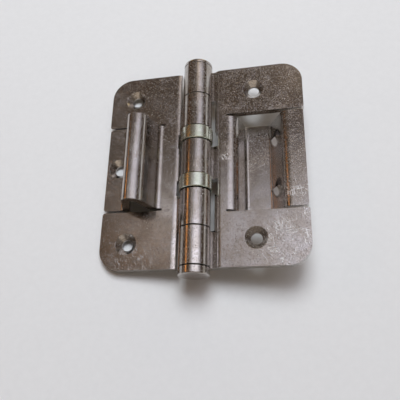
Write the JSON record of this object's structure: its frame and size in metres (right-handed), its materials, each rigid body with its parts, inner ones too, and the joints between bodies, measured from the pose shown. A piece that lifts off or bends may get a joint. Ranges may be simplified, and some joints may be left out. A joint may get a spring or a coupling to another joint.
{
  "type": "security butt hinge",
  "caption": "Folded steel butt hinge with a ball-bearing barrel: a rib pressed in the door leaf locks into a channel pressed in the frame leaf when the door is shut.",
  "frame": {"origin": "midway between the frame leaf's screw holes, on the leaf's back face, where it lies on the door frame", "axes": "+Y along the pin towards the low top cap, +X from the pin towards the frame leaf's outer edge, +Z out of the wood on the barrel's side"},
  "size_m": [0.0845, 0.0947, 0.0275],
  "materials": {
    "frame_leaf_plate": "nickel-plated steel, satin, finely scratched",
    "door_leaf_plate": "nickel-plated steel, satin",
    "cap_plate": "nickel-plated steel, satin",
    "cup_zinc": "zinc-plated steel, pale yellow-green passivate",
    "pin_steel": "ground bright steel",
    "bearing_steel": "hardened steel, polished"
  },
  "bodies": {
    "frame": {"frame_leaf": "frame_leaf_plate", "pin": "pin_steel", "top_cap": "cap_plate", "bottom_cap": "cap_plate", "upper_bearing_cup": "cup_zinc", "upper_bearing_fixed_race": "bearing_steel", "lower_bearing_cup": "cup_zinc", "lower_bearing_fixed_race": "bearing_steel"},
    "door": {"door_leaf": "door_leaf_plate", "upper_bearing_moving_race": "bearing_steel", "lower_bearing_moving_race": "bearing_steel"},
    "upper_balls": {"upper_bearing_balls": "bearing_steel"},
    "lower_balls": {"lower_bearing_balls": "bearing_steel"}
  },
  "joints": [
    {"name": "leaf_swing", "type": "hinge", "parent": "frame", "child": "door", "pos_m": [-0.0237, 0, 0.005], "axis": [0, 1, 0], "range_deg": [0, 180]},
    {"name": "upper_ball_roll", "type": "hinge", "parent": "frame", "child": "upper_balls", "pos_m": [-0.0237, 0, 0.005], "axis": [0, 1, 0], "range_deg": [0, 90]},
    {"name": "lower_ball_roll", "type": "hinge", "parent": "frame", "child": "lower_balls", "pos_m": [-0.0237, 0, 0.005], "axis": [0, 1, 0], "range_deg": [0, 90]}
  ],
  "couplings": [
    {"joint": "upper_ball_roll", "follows": "leaf_swing", "ratio": 0.5},
    {"joint": "lower_ball_roll", "follows": "leaf_swing", "ratio": 0.5}
  ]
}
